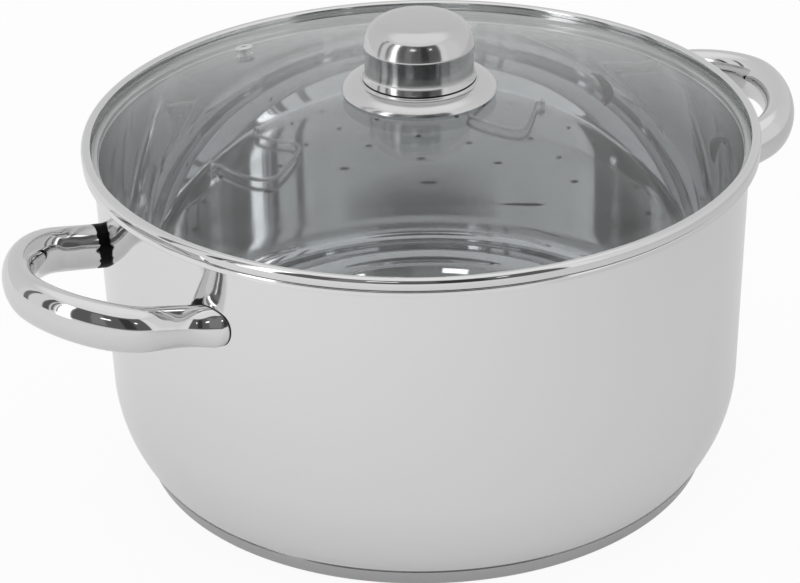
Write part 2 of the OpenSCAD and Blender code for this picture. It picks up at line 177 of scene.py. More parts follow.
# Dark seam and painted crevice shade by a welded joint, 0 to 1: a hairline all round, the joint's
# own dark seam, and a wide ragged patch inside the loop, painted shade that stands in for the
# shadow and dark reflection in the crevice between handle and wall. It goes by the distance from
# the pot's wall, less the hairline's width or, inside the loop, less a noise times twice the
# patch's width
def scorch(tree, place, weld):
    radius = radiusOf(tree, place)
    across = addNode(tree, "ShaderNodeSeparateXYZ", {0: place}).outputs["Y"]
    aside = addNode(tree, "ShaderNodeMath", {0: across}, operation="ABSOLUTE").outputs[0]
    ragged = addNode(tree, "ShaderNodeTexNoise", {
        "Vector": place, "Scale": 1 / (weld["tooth"] * mm), "Detail": 2.0})
    wide = addNode(tree, "ShaderNodeMath", {
        0: ragged.outputs[0], 1: weld["patch"] * 2 * mm}, operation="MULTIPLY").outputs[0]
    edge = addNode(tree, "ShaderNodeMapRange", {
        "Value": aside, "From Min": weld["inner"][0] * mm, "From Max": weld["inner"][1] * mm,
        "To Min": wide, "To Max": weld["line"] * mm}, interpolation_type="SMOOTHSTEP").outputs[0]
    gap = addNode(tree, "ShaderNodeMath", {0: radius, 1: edge}, operation="SUBTRACT").outputs[0]
    return addNode(tree, "ShaderNodeMapRange", {
        "Value": gap, "From Min": weld["wall"][0] * mm, "From Max": weld["wall"][1] * mm,
        "To Min": 1.0, "To Max": 0.0}, interpolation_type="SMOOTHSTEP").outputs[0]


# Polishing is uneven: size of its patches in millimetres, the noise that counts as least
# and most, and their shares of the finish's roughness
polish = {"patch": 35, "noise": (0.35, 0.65), "shares": (0.8, 1.25)}


# Steel, by how its surface was worked. grain is "streaks" for the upright marks that
# drawing and polishing leave, "rings" for turned work, or "even" for buffed bends.
# grainWidth and grainDepth are the size of these marks, and wave is how far the sheet
# leaves its true form over waveLength, all in millimetres
def steel(name, finish):
    material, tree, out = newMaterial(name)
    place = addNode(tree, "ShaderNodeTexCoord").outputs["Object"]
    if finish["grain"] == "rings":
        grainPlace = addNode(tree, "ShaderNodeCombineXYZ", {"X": radiusOf(tree, place)}).outputs[0]
    else:
        # streaks hardly change with height
        stretch = (1, 1, 0.02 if finish["grain"] == "streaks" else 1)
        grainPlace = addNode(tree, "ShaderNodeMapping", {
            "Vector": place, "Scale": stretch}).outputs[0]
    grain = addNode(tree, "ShaderNodeTexNoise", {
        "Vector": grainPlace, "Scale": 1 / (finish["grainWidth"] * mm),
        "Detail": 3.0, "Roughness": 0.6})
    swell = addNode(tree, "ShaderNodeTexNoise", {
        "Vector": place, "Scale": 1 / (finish["waveLength"] * mm), "Detail": 1.0})
    smear = addNode(tree, "ShaderNodeTexNoise", {
        "Vector": place, "Scale": 1 / (polish["patch"] * mm), "Detail": 4.0, "Roughness": 0.55})
    rough = addNode(tree, "ShaderNodeMapRange", {
        "Value": smear.outputs[0], "From Min": polish["noise"][0], "From Max": polish["noise"][1],
        "To Min": finish["rough"] * polish["shares"][0],
        "To Max": finish["rough"] * polish["shares"][1]})
    if "inner" in finish:
        # the strip's unpolished inner side
        start, end = finish["inner"]["radius"]
        rough = addNode(tree, "ShaderNodeMapRange", {
            "Value": radiusOf(tree, place), "From Min": start * mm, "From Max": end * mm,
            "To Min": finish["inner"]["rough"], "To Max": rough.outputs[0]})
    sheet = addNode(tree, "ShaderNodeBump", {
        "Strength": 1.0, "Distance": finish["wave"] * mm, "Height": swell.outputs[0]})
    marks = addNode(tree, "ShaderNodeBump", {
        "Strength": 1.0, "Distance": finish["grainDepth"] * mm, "Height": grain.outputs[0],
        "Normal": sheet.outputs[0]})
    shader = addNode(tree, "ShaderNodeBsdfPrincipled", {
        "Base Color": colour(finish["colour"]), "Metallic": 1.0,
        "Roughness": rough.outputs[0], "Normal": marks.outputs[0]})
    # the welded joint's own dark seam, and painted shade in the crevice at the handle's roots,
    # darken the colour and dull the finish
    if "weld" in finish:
        burnt = scorch(tree, place, finish["weld"])
        tint = addNode(tree, "ShaderNodeMix", {
            "Factor": burnt, 6: colour(finish["colour"]), 7: colour(finish["weld"]["colour"])},
            data_type="RGBA")
        dull = addNode(tree, "ShaderNodeMix", {
            "Factor": burnt, 2: rough.outputs[0], 3: finish["weld"]["rough"]})
        tree.links.new(tint.outputs[2], shader.inputs["Base Color"])
        tree.links.new(dull.outputs[0], shader.inputs["Roughness"])
    tree.links.new(shader.outputs[0], out.inputs["Surface"])
    return material


# Rubber, plastic, brass and cast metal: a little mottling, and a fine skin with a grain of
# 0.4 mm. mottle and skin are the mottles' size and the skin's depth in millimetres
def plain(name, look):
    material, tree, out = newMaterial(name)
    place = addNode(tree, "ShaderNodeTexCoord").outputs["Object"]
    mottle = addNode(tree, "ShaderNodeTexNoise", {
        "Vector": place, "Scale": 1 / (look["mottle"] * mm), "Detail": 4.0})
    tint = addNode(tree, "ShaderNodeMix", {
        "Factor": mottle.outputs[0], 6: colour(look["dark"]), 7: colour(look["light"])},
        data_type="RGBA")
    skin = addNode(tree, "ShaderNodeTexNoise", {
        "Vector": place, "Scale": 1 / (0.4 * mm), "Detail": 2.0})
    bump = addNode(tree, "ShaderNodeBump", {
        "Distance": look["skin"] * mm, "Height": skin.outputs[0]})
    shader = addNode(tree, "ShaderNodeBsdfPrincipled", {
        "Base Color": tint.outputs[2], "Metallic": look["metal"], "Roughness": look["rough"],
        "Normal": bump.outputs[0]})
    tree.links.new(shader.outputs[0], out.inputs["Surface"])
    return material


# Toughened soda-lime glass: lets light through nearly untouched, with a faint green,
# and mirrors the room by the angle of view
def clearGlass(name, look):
    material, tree, out = newMaterial(name)
    # share mirrored: least head on, rising with the fifth power towards a grazing view,
    # alike on both faces of the wall because the light isn't bent here
    facing = addNode(tree, "ShaderNodeLayerWeight", {"Blend": 0.5}).outputs["Facing"]
    graze = addNode(tree, "ShaderNodeMath", {0: facing, 1: 5.0}, operation="POWER").outputs[0]
    mirror = addNode(tree, "ShaderNodeMath", {
        0: graze, 1: 1 - look["headOn"], 2: look["headOn"]}, operation="MULTIPLY_ADD")
    through = addNode(tree, "ShaderNodeBsdfTransparent", {"Color": colour(look["tint"])})
    gloss = addNode(tree, "ShaderNodeBsdfGlossy", {"Color": colour("#ffffff"), "Roughness": 0.0})
    both = addNode(tree, "ShaderNodeMixShader", {
        0: mirror.outputs[0], 1: through.outputs[0], 2: gloss.outputs[0]})
    tree.links.new(both.outputs[0], out.inputs["Surface"])
    return material


steelFinishes = {
    # drawn 18/10 sheet, polished outside: mirror images with a soft edge and upright streaks
    "potOutside": {"colour": "#e4e4e4", "rough": 0.08, "grain": "streaks", "grainWidth": 0.5,
                   "grainDepth": 0.00005, "waveLength": 60, "wave": 0.12},
    # the same sheet inside the pot: brighter and sharper, with no grain left to see
    "potInside": {"colour": "#dadbdc", "rough": 0.03, "grain": "streaks", "grainWidth": 0.8,
                  "grainDepth": 0.0, "waveLength": 60, "wave": 0.12},
    # pressed cap, brushed: a darker, duller band
    "cap": {"colour": "#bebebe", "rough": 0.22, "grain": "rings", "grainWidth": 0.3,
            "grainDepth": 0.002, "waveLength": 60, "wave": 0.02},
    # buffed tube: a sharp mirror with slight dents of the bender
    "handle": {"colour": "#d9d9d9", "rough": 0.05, "grain": "even", "grainWidth": 0.6,
               "grainDepth": 0.0003, "waveLength": 13, "wave": 0.045,
               # distances from the pot's axis over which the dark seam and the painted shade fade,
               # width of the hairline seam and of the painted-shade patch, where across the loop
               # one gives way to the other, and the size of the ragged edge's teeth
               "weld": {"colour": "#1c1c1d", "rough": 0.5, "wall": (153.8, 154.5), "line": 1.0,
                        "patch": 4.2, "inner": (47, 50), "tooth": 4.5}},
    # rolled strip, bright
    "band": {"colour": "#dcdcdc", "rough": 0.04, "grain": "even", "grainWidth": 0.6,
             "grainDepth": 0.0003, "waveLength": 40, "wave": 0.02,
             "inner": {"radius": (155, 155.3), "rough": 0.45}},
    # pressed knob, polished by hand: a soft mirror with upright streaks
    "knob": {"colour": "#cfcfcf", "rough": 0.13, "grain": "streaks", "grainWidth": 0.7,
             "grainDepth": 0.002, "waveLength": 9, "wave": 0.05},
    # spun flange, satin: its mirror images run together
    "bezel": {"colour": "#d4d4d4", "rough": 0.2, "grain": "rings", "grainWidth": 0.3,
              "grainDepth": 0.0005, "waveLength": 12, "wave": 0.03},
    # zinc-plated and stainless small parts
    "hardware": {"colour": "#c4c4c4", "rough": 0.25, "grain": "rings", "grainWidth": 0.3,
                 "grainDepth": 0.002, "waveLength": 10, "wave": 0.01},
    # tumbled rack plate: a soft, even satin
    "rack": {"colour": "#dadada", "rough": 0.14, "grain": "even", "grainWidth": 0.5,
             "grainDepth": 0.001, "waveLength": 45, "wave": 0.03},
    # pickled wire: dull grey
    "wire": {"colour": "#d8d8d8", "rough": 0.3, "grain": "even", "grainWidth": 0.5,
             "grainDepth": 0.001, "waveLength": 45, "wave": 0.01},
}
steels = {key: steel(f"{key}Steel", finish) for key, finish in steelFinishes.items()}
plainLooks = {
    # phenolic filler, moulded: matt black
    "filler": {"dark": "#161616", "light": "#202020",
               "mottle": 3, "skin": 0.02, "metal": 0.0, "rough": 0.55},
    # silicone rubber, moulded: soft black sheen
    "rubber": {"dark": "#1a1a1b", "light": "#232324",
               "mottle": 4, "skin": 0.015, "metal": 0.0, "rough": 0.5},
    # nylon bush, moulded: milky white
    "nylon": {"dark": "#e2e0d8", "light": "#ecebe4",
              "mottle": 4, "skin": 0.01, "metal": 0.0, "rough": 0.4},
    # turned brass
    "brass": {"dark": "#c29a4e", "light": "#cfa95c",
              "mottle": 3, "skin": 0.004, "metal": 1.0, "rough": 0.3},
    # aluminium disc pressed between pot and cap: dull silver
    "aluminium": {"dark": "#b9bbbc", "light": "#c5c7c8",
                  "mottle": 6, "skin": 0.01, "metal": 1.0, "rough": 0.4},
}
plains = {key: plain(key, look) for key, look in plainLooks.items()}
glass = clearGlass("clearGlass", {"headOn": 0.04, "tint": "#fafbfb"})
print("finishes made")


pot = {"mouthRadius": 155, "heelRadius": 153, "heelHeight": 47, "seamRadius": 141.2,
       "seamHeight": 9, "soleRadius": 8, "floorRings": [0, 40, 90], "sheet": 0.9, "sides": 288,
       # height of the folded rim, how far inside its middle the flare and the lid's seat end,
       # and how far under the rim the straight wall ends
       "fold": 2.5, "flareInset": 0.5, "seatInset": 2, "flareDepth": 5,
       # the fold's leaning face: radius of its lower corner, then distance in from the rim's
       # edge and down from its top
       "foldCorner": 0.25, "foldFace": [[0.02, 2.14], [0.42, 0.5], [0.62, 0.16], [1.1, 0]]}


# The outline climbs from the sole through a wide corner and a straight wall to the
# flared and folded rim, and comes back inside one sheet thickness away
def potOutline(pot):
    low, high = sizeOf("pot_body")
    rimR, rimZ = high[0], high[2]
    dx, dz = pot["heelRadius"] - pot["seamRadius"], pot["heelHeight"] - pot["seamHeight"]
    cornerR = (dx**2 + dz**2) / (2 * dx)
    turn = math.degrees(math.asin(dz / cornerR))
    corner = (pot["heelRadius"] - cornerR, pot["heelHeight"])
    soleR = pot["soleRadius"]
    sole = (pot["seamRadius"] - soleR * math.cos(math.radians(turn)),
            pot["seamHeight"] + soleR * math.sin(math.radians(turn)))
    t, fold, foldCorner = pot["sheet"], pot["fold"], pot["foldCorner"]
    lipR = rimR - fold / 2
    flare = lipR - pot["flareInset"] - pot["mouthRadius"]
    flareZ = rimZ - fold - flare
    seat = lipR - pot["seatInset"]
    wall = np.linspace(0, 1, 9)[:, None]
    outer = (np.array([pot["heelRadius"], pot["heelHeight"]]) * (1 - wall)
             + np.array([pot["mouthRadius"], flareZ]) * wall)
    inner = outer - [t, 0]
    floor = np.array([[r, low[2]] for r in pot["floorRings"]])
    return outline(
        floor,
        arc(sole, soleR, soleR, -90, -turn, 12),
        arc(corner, cornerR, cornerR, -turn, 0, 36),
        outer,
        arc((pot["mouthRadius"] + flare, flareZ), flare, flare, 180, 90, 14),
        arc((rimR - foldCorner, rimZ - fold + foldCorner), foldCorner, foldCorner, -90, 14, 8),
        smoothCurve([rimR, rimZ] - np.array(pot["foldFace"]), 5),
        arc((seat, flareZ), seat - pot["mouthRadius"] + t, rimZ - flareZ, 90, 180, 18),
        inner[::-1],
        arc(corner, cornerR - t, cornerR - t, 0, -turn, 36),
        arc(sole, soleR - t, soleR - t, -turn, -90, 12),
        floor[::-1] + [0, t])


potBody = gridSolid("potBody", turned(potOutline(pot), pot["sides"]), "pot")
potBody.data.materials.append(steels["potOutside"])
potBody.data.materials.append(steels["potInside"])
# faces that look towards the pot's own axis, or up from its floor, take the inside's finish
middles = np.zeros(len(potBody.data.polygons) * 3)
normals = np.zeros_like(middles)
potBody.data.polygons.foreach_get("center", middles)
potBody.data.polygons.foreach_get("normal", normals)
middles, normals = middles.reshape(-1, 3), normals.reshape(-1, 3)
inward = (middles[:, :2] * normals[:, :2]).sum(axis=1) < 0
floorUp = (normals[:, 2] > 0.5) & (middles[:, 2] < 20 * mm)
potBody.data.polygons.foreach_set("material_index", (inward | floorUp).astype(np.int32))
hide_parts("pot_body")

# The cap's edge leans out by lean at its top
cap = {"sheet": 0.6, "sideRadius": 138.8, "fillet": 2.2, "lean": 0.1, "rings": [0, 60, 120],
       "sides": 256}
capTop = sizeOf("base_cap")[1]
capEdge = capTop[0] - cap["lean"]
capFloor = np.array([[r, 0] for r in cap["rings"]])
capFillet = (cap["sideRadius"] - cap["fillet"], cap["fillet"])
capOutline = outline(
    capFloor,
    arc(capFillet, cap["fillet"], cap["fillet"], -90, 0, 12),
    [[capEdge, capTop[2] - cap["lean"]], [capEdge, capTop[2]],
     [capTop[0] - cap["sheet"], capTop[2]]],
    arc(capFillet, cap["fillet"] - cap["sheet"], cap["fillet"] - cap["sheet"], 0, -90, 8),
    capFloor[::-1] + [0, cap["sheet"]])
baseCap = gridSolid("baseCap", turned(capOutline, cap["sides"]), "pot")
baseCap.data.materials.append(steels["cap"])
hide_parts("base_cap")
print("pot made")


handle = {"halfHeight": 11.2, "bowWidth": 46.5, "wallHeight": 126, "rise": 12.7, "power": 1.69,
          "sides": 56,
          # spacing of the rings, how many of them are averaged, and how deep the ends are
          # sunk in the wall
          "step": 0.8, "window": 13, "sunk": 0.4,
          # width of the tube as a share of its height, at the arms and at the outermost
          # point, and where from the pot's axis it starts to change and the bow starts
          "armShare": 0.78, "bowShare": 0.66, "armEnd": 164, "bowStart": 172,
          # how far each end bends outwards at the wall, and how much of the neck it has: the
          # loops are pinched for welding at one end more than at the other
          "bend": (8, -1.5), "pinch": (1, 0.3),
          # distance from the wall, height and width of the tube as shares of the full ones,
          # lift of its middle, and share of the outward bend
          "neck": [[-2, 0.88, 0.95, 2.6, 1.15], [0, 0.87, 0.96, 2.2, 1],
                   [3, 0.85, 0.98, 1.2, 0.6], [7, 0.84, 1, 0.4, 0.25],
                   [12, 0.845, 1.02, 0, 0.05], [18, 0.87, 1.02, 0, 0], [26, 0.91, 1, 0, 0],
                   [34, 0.957, 1, 0, 0], [45, 1, 1, 0, 0], [70, 1, 1, 0, 0]]}
handle["reach"] = sizeOf("right_handle")[1][0] - handle["halfHeight"] * handle["bowShare"]


# Half a loop: an arm, then a quarter of a superellipse, x = start + depth sin^(2/p),
# y = width cos^(2/p). It is flattened, bent and lifted by its distance from the wall
def halfLoop(bend, pinch):
    width, start, power = handle["bowWidth"], handle["bowStart"], handle["power"]
    rootX = math.sqrt(pot["mouthRadius"] ** 2 - (width + bend) ** 2)
    neckX = np.linspace(rootX - 2, rootX + 12, 20)
    armX = np.concatenate([neckX[:-1], np.linspace(neckX[-1], start, 12)[:-1]])
    t = np.radians(np.linspace(0, 90, 61))
    x = np.concatenate([armX, start + (handle["reach"] - start) * np.sin(t) ** (2 / power)])
    y = np.concatenate([width + 0 * armX, width * np.cos(t) ** (2 / power)])
    neck = smoothCurve(handle["neck"], 12)
    high, wide, lift, out = (np.interp(x - rootX, neck[:, 0], neck[:, k]) for k in (1, 2, 3, 4))
    return np.stack([x, y, 1 + pinch * (high - 1), 1 + pinch * (wide - 1), bend * out,
                     pinch * lift], axis=1)


# Points at even steps along a line, each then the weighted mean of its neighbours
def evenly(line, step, window):
    lengths = np.linalg.norm(np.diff(line[:, :2], axis=0), axis=1)
    along = np.concatenate([[0], np.cumsum(lengths)])
    places = np.linspace(0, along[-1], int(along[-1] / step) + 1)
    weights = np.hanning(window + 2)[1:-1]
    columns = [np.interp(places, along, column) for column in line.T]
    padded = [np.pad(column, window // 2, mode="reflect", reflect_type="odd")
              for column in columns]
    return np.stack([np.convolve(column, weights / weights.sum(), "valid")
                     for column in padded], axis=1)


# Two halves joined at the outermost point, rising evenly towards it
def makeHandle(name, node, side):
    first, last = (halfLoop(bend, pinch)
                   for bend, pinch in zip(handle["bend"], handle["pinch"]))
    last = last[-2::-1] * [1, -1, 1, 1, -1, 1]
    line = evenly(np.concatenate([first, last]), handle["step"], handle["window"])
    x, y, high, wide, outwards, lift = line.T
    z = handle["wallHeight"] + handle["rise"] * (x - x[0]) / (handle["reach"] - x[0])
    shares = np.interp(x, [handle["armEnd"], handle["reach"]],
                       [handle["armShare"], handle["bowShare"]])
    grid = carried(np.stack([x, y, z], axis=1), wide * shares * handle["halfHeight"],
                   high * handle["halfHeight"], handle["sides"])
    grid += np.stack([0 * x, outwards, lift], axis=1)[:, None]
    # the ends follow the round of the wall and stop sunk in its sheet
    for end in (0, -1):
        wallX = np.sqrt(wallRadius(grid[end, :, 2]) ** 2 - grid[end, :, 1] ** 2)
        grid[end, :, 0] = wallX - handle["sunk"]
    start, finish = (ring.mean(axis=1, keepdims=True) + 0 * ring for ring in (grid[:1], grid[-1:]))
    grid = np.concatenate([start, grid, finish]) * [side, side, 1]
    piece = gridSolid(name, grid, "pot", sharp=60)
    piece.data.materials.append(steels["handle"])
    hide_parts(node)


# Outside of the wall at a height: it widens evenly from the heel to the mouth
def wallRadius(z):
    wallTop = sizeOf("pot_body")[1][2] - pot["flareDepth"]
    share = (z - pot["heelHeight"]) / (wallTop - pot["heelHeight"])
    return pot["heelRadius"] + (pot["mouthRadius"] - pot["heelRadius"]) * share


makeHandle("rightHandle", "right_handle", 1)
makeHandle("leftHandle", "left_handle", -1)
print("handles made")


lid = {"sides": 288,
       # the glass, its slack inside the strip, and the rounding of its edge above and below
       "glass": 3.2, "domeRadius": 555, "domeEdge": 146, "blend": 20, "hole": 4.5,
       "slack": 0.2, "edgeOver": 1.2, "edgeUnder": 0.6,
       # the strip round it: where its inner edge grips the glass, height of the bead over the
       # glass and of the shoulder under that, gap to the rim and rounding of the lower edge
       "band": 0.5, "beadRadius": 155.5, "bead": 1.2, "shoulder": 1.8, "gap": 0.45, "hem": 0.8,
       # the step and the skirt that drop into the mouth
       "seatRadius": 154.8, "seatDrop": 1.9, "seatRound": 0.6,
       "skirtRadius": 153.2, "skirtDrop": 4.6, "skirtRound": 1.5}
bandTop = sizeOf("lid_band")[1]
rimZ = sizeOf("pot_body")[1][2]
flangeTop = bandTop[2] - lid["bead"]
flangeLow = flangeTop - lid["glass"]
domeTurn = math.degrees(math.asin(lid["domeEdge"] / lid["domeRadius"]))
domeZ = (flangeTop + lid["blend"] * (1 - math.cos(math.radians(domeTurn)))
         - lid["domeRadius"] * math.cos(math.radians(domeTurn)))
apexZ = domeZ + lid["domeRadius"]
blendC = (lid["domeEdge"] + lid["blend"] * math.sin(math.radians(domeTurn)),
          flangeTop + lid["blend"])


# One face of the glass: a sphere cap, r = R sin t, then a hollow curve into the flat rim
def glassFace(drop):
    start = math.degrees(math.asin(lid["hole"] / lid["domeRadius"]))
    radius = lid["domeRadius"] - drop
    dome = arc((0, domeZ), radius, radius, 90 - start, 90 - domeTurn, 40)
    hollow = arc(blendC, lid["blend"] + drop, lid["blend"] + drop, 270 - domeTurn, 270, 10)
    return outline(dome, hollow)


edge, over, under = bandTop[0] - lid["band"] - lid["slack"], lid["edgeOver"], lid["edgeUnder"]
glassOutline = outline(
    glassFace(0),
    arc((edge - over, flangeTop - over), over, over, 90, 0, 8),
    arc((edge - under, flangeLow + under), under, under, 0, -90, 6),
    glassFace(lid["glass"])[::-1])
lidGlass = gridSolid("lidGlass", turned(glassOutline, lid["sides"]), "lid", ring=True)
lidGlass.data.materials.append(glass)
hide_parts("lid_glass")

# The strip's outside runs from the bead over the glass in under it, down to the step that
# sits in the rim's flare, and ends in the skirt; its inside comes back one strip away
bandR, strip, skirtR, seatR = bandTop[0], lid["band"], lid["skirtRadius"], lid["seatRadius"]
bandLowZ, seatZ, skirtZ = rimZ + lid["gap"], rimZ - lid["seatDrop"], rimZ - lid["skirtDrop"]
hem, seatRound, skirtRound = lid["hem"], lid["seatRound"], lid["skirtRound"]
beadHalf = (bandR - lid["beadRadius"]) / 2
shoulderHigh = lid["bead"] + lid["shoulder"]
beadC = (bandR - beadHalf, flangeTop)
shoulderC = (bandR - beadHalf, flangeTop - lid["shoulder"])
hemC = (bandR - hem, bandLowZ + hem)
skirtC = (skirtR - skirtRound, skirtZ + skirtRound)
bandOutline = outline(
    arc(beadC, beadHalf, lid["bead"], 180, 90, 14),
    arc(shoulderC, beadHalf, shoulderHigh, 90, 0, 18),
    arc(hemC, hem, hem, 0, -90, 8),
    [[seatR, bandLowZ], [seatR, seatZ]],
    arc((skirtR + seatRound, seatZ - seatRound), seatRound, seatRound, 90, 180, 6),
    arc(skirtC, skirtRound, skirtRound, 0, -60, 6),
    arc(skirtC, skirtRound - strip, skirtRound - strip, -60, 0, 6),
    [[skirtR - strip, seatZ + strip], [seatR - strip, seatZ + strip], [seatR - strip, flangeLow]],
    arc(hemC, hem - strip, hem - strip, -90, 0, 4),
    arc(shoulderC, beadHalf - strip, shoulderHigh - strip, 0, 90, 12),
    arc(beadC, beadHalf - strip, lid["bead"] - strip, 90, 180, 10))
lidBand = gridSolid("lidBand", turned(bandOutline, lid["sides"]), "lid", ring=True)
lidBand.data.materials.append(steels["band"])
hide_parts("lid_band")

# Steam vent: a rolled eyelet pressed through the glass
eyelet = {"reach": 120.3, "turn": 104.2, "sides": 40,
          # radius and height of the rolled collar over the glass, then of the tail, whose
          # heights go from the underside of the glass
          "collar": [[1.6, 0.3], [1.8, 0.85], [2.5, 1.12], [3.6, 0.95], [4.5, 0.45], [4.75, 0.05]],
          "tail": [[2.85, -0.05], [4.2, -0.05], [4.2, -0.5], [2.6, -0.8], [1.6, -0.6]]}


# The eyelet stands square to the dome: it is set on the dome's radius, leant away from the
# axis by (x cos + z sin, z cos - x sin), and then turned about the axis by (x cos - y sin,
# x sin + y cos)
def eyeletGrid(eyelet):
    tail = np.array(eyelet["tail"]) - [0, lid["glass"]]
    shape = outline(smoothCurve(eyelet["collar"], 6), [[tail[0, 0], 0]], tail)
    x, y, z = np.moveaxis(turned(shape, eyelet["sides"]) + [0, 0, lid["domeRadius"]], -1, 0)
    lean, turn = math.asin(eyelet["reach"] / lid["domeRadius"]), math.radians(eyelet["turn"])
    out, up = x * math.cos(lean) + z * math.sin(lean), z * math.cos(lean) - x * math.sin(lean)
    return np.stack([out * math.cos(turn) - y * math.sin(turn),
                     out * math.sin(turn) + y * math.cos(turn), up + domeZ], axis=-1)


ventEyelet = gridSolid("ventEyelet", eyeletGrid(eyelet), "lid", ring=True)
ventEyelet.data.materials.append(steels["band"])
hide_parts("vent_eyelet")
print("lid made")


knob = {"sheet": 0.7, "sides": 160,
        # radius and height: the side above the foot, then the crown above the shoulder
        "side": [[26.8, 0], [26.3, 1.2], [25.7, 3.4], [25.6, 7], [25.75, 10.5], [26.2, 16.1]],
        "crown": [[26.2, 0], [25.6, 2.2], [24.85, 4.4], [24.1, 6.1], [23.1, 7.7], [21.6, 9.2],
                  [19.4, 10.6], [16.4, 11.6], [12, 12.1], [6, 12.35], [0, 12.4]]}
knobZ = sizeOf("knob_shell")[0][2]


# Side of the knob: a slight waist between foot and shoulder, a crease, then the crown. The
# inner face has its side moved in by t, and its crown shrunk by t each way
def knobSide(t):
    side = smoothCurve(knob["side"], 8) + [-t, knobZ]
    width, height = knob["crown"][0][0], knob["crown"][-1][1]
    crown = smoothCurve(knob["crown"], 6) * [1 - t / width, 1 - t / height]
    crown += [0, knobZ + knob["side"][-1][1]]
    crown[-1, 0] = 0
    return outline(side, crown)


shellOutline = outline(knobSide(0), knobSide(knob["sheet"])[::-1])
knobShell = gridSolid("knobShell", turned(shellOutline, knob["sides"]), "lid")
knobShell.data.materials.append(steels["knob"])
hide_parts("knob_shell")

bezel = {"sheet": 0.6, "hole": 3, "well": 22.4, "collar": 27.5, "round": 0.6, "sides": 192,
         # heights of the sunk middle over the glass, of the flange over that, and of the
         # middle of the curve from flange to collar over the flange
         "wellHeight": 0.9, "plateHeight": 2, "fillet": 1.6,
         # underside of the flange: width and height of its rolled edge, and its drop
         "roll": (3.4, 3.2), "rollDrop": 0.2,
         # top face of the flange: distance in from the edge, and height
         "face": [[7.2, 1.15], [5.2, 0.8], [3.4, 0.15], [1.8, -0.85], [0.6, -2.1], [0, -3.4]]}
plateR, collarZ = sizeOf("knob_bezel")[1][[0, 2]]
wellZ = apexZ + bezel["wellHeight"]
plateZ = wellZ + bezel["plateHeight"]
rollX, rollZ = bezel["roll"]
rollC = (plateR - rollX, plateZ - bezel["rollDrop"] - rollZ)
plate, bend = bezel["sheet"], bezel["round"]
bezelOutline = outline(
    [[bezel["hole"], wellZ], [bezel["well"], wellZ], [bezel["well"], collarZ - plate],
     [bezel["collar"] - plate, collarZ - plate], [bezel["collar"] - plate, plateZ - plate]],
    arc(rollC, rollX - plate, rollZ - plate, 90, 0, 12),
    smoothCurve(bezel["face"], 8)[::-1] * [-1, 1] + [plateR, plateZ],
    arc((bezel["collar"] + bend, plateZ + bezel["fillet"]), bend, bend, 270, 180, 5),
    arc((bezel["collar"] - bend, collarZ - bend), bend, bend, 0, 90, 7),
    [[bezel["well"] - plate, collarZ], [bezel["well"] - plate, wellZ + plate],
     [bezel["hole"], wellZ + plate]])
knobBezel = gridSolid("knobBezel", turned(bezelOutline, bezel["sides"]), "lid", ring=True)
knobBezel.data.materials.append(steels["bezel"])
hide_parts("knob_bezel")
print("knob made")


bail = {"pivotX": 112, "armY": 30, "lugY": 36, "reach": 48, "bend": 10, "pinBend": 2.5,
        "wire": 1.25, "pinOut": 4, "sides": 20}


# A bent wire: pins along Y through the lugs, arms inwards, and a grip across,
# with a round bend at each grip corner and a close one at each pin
def makeBail(name, node, side):
    low, high = sizeOf(node)
    pivotZ = (low[2] + high[2]) / 2
    a = np.radians(np.linspace(0, 90, 15))
    tight, wide = bail["pinBend"], bail["bend"]
    pinEnd = bail["armY"] + tight
    pin = [[0, bail["lugY"] + bail["pinOut"]], [0, pinEnd]]
    atPin = np.stack([tight * np.cos(a) - tight, pinEnd - tight * np.sin(a)], axis=1)
    corner = (wide - bail["reach"], bail["armY"] - wide)
    atGrip = np.stack([corner[0] - wide * np.sin(a), corner[1] + wide * np.cos(a)], axis=1)
    half = outline(pin, atPin, atGrip)
    path = np.concatenate([half, half[::-1] * [1, -1]])
    path = np.stack([path[:, 0], path[:, 1], 0 * path[:, 0]], axis=1)
    size = np.full(len(path), bail["wire"])
    grid = carried(path, size, size, bail["sides"])
    grid = np.concatenate([path[:1, None] + 0 * grid[:1], grid, path[-1:, None] + 0 * grid[-1:]])
    grid = (grid + [bail["pivotX"], 0, pivotZ]) * [side, 1, 1]
    piece = gridSolid(name, grid, node.replace("rack_", ""))
    piece.data.materials.append(steels["wire"])
    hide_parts(node)


makeBail("rightBail", "rack_right_bail", 1)
makeBail("leftBail", "rack_left_bail", -1)

# The rest keeps its own shape and takes a finish
kept = {"base_core": plains["aluminium"], "knob_core": plains["filler"],
        "knob_nut": plains["brass"], "upper_gasket": plains["rubber"],
        "lower_gasket": plains["rubber"], "glass_bush": plains["nylon"],
        "screw_washer": steels["hardware"], "lock_washer": steels["hardware"],
        "lid_screw": steels["hardware"], "rack_plate": steels["rack"],
        "rack_feet": steels["rack"], "rack_bail_lugs": steels["rack"]}
for name, material in kept.items():
    nodes[name].data.materials.clear()
    nodes[name].data.materials.append(material)
print("rack made and small parts dressed")


studio = {
    "facing": -122.0,  # direction of the open side, where the viewer stands
    # brightness at the sides, at the back and overhead, and the angles over which one gives
    # way to the next: round from the open side, and in height
    "sides": 0.8, "back": 0.74, "sidesToBack": (80, 170), "zenith": 1.0, "top": (46, 60),
    # soft boxes, the dark opening between them, its small lamps and a window's bars: from and
    # to in degrees round from the open side, from and to in height, softness of the edges,
    # and brightness
    "panels": [
        (-100, -58, -8, 46, 3.0, 0.85),
        (-60, -48, -8, 46, 1.5, 2.4),
        (45, 60, -8, 46, 2.0, 0.95),
        (58, 92, -8, 46, 5.0, 0.85),
        (-48, 45, 2, 51, 1.5, 0.13),
        (-30, -16, 6, 45, 2.0, 0.24),
        (4, 20, 6, 45, 2.0, 0.05),
        (-68, 68, 51, 72, 2.5, 0.95),
        (-19.5, -8.9, 29, 33, 0.8, 2.5),
        (24, 28, 29, 33, 0.8, 2.5),
        (-72, -66, 0, 44, 0.8, 0.12),
        (-64.5, -62, 4, 40, 0.5, 0.2),
        (-60, -58.5, 5, 36, 0.5, 0.3),
        (-92, -86, -4, 44, 1.0, 0.2),
    ],
}


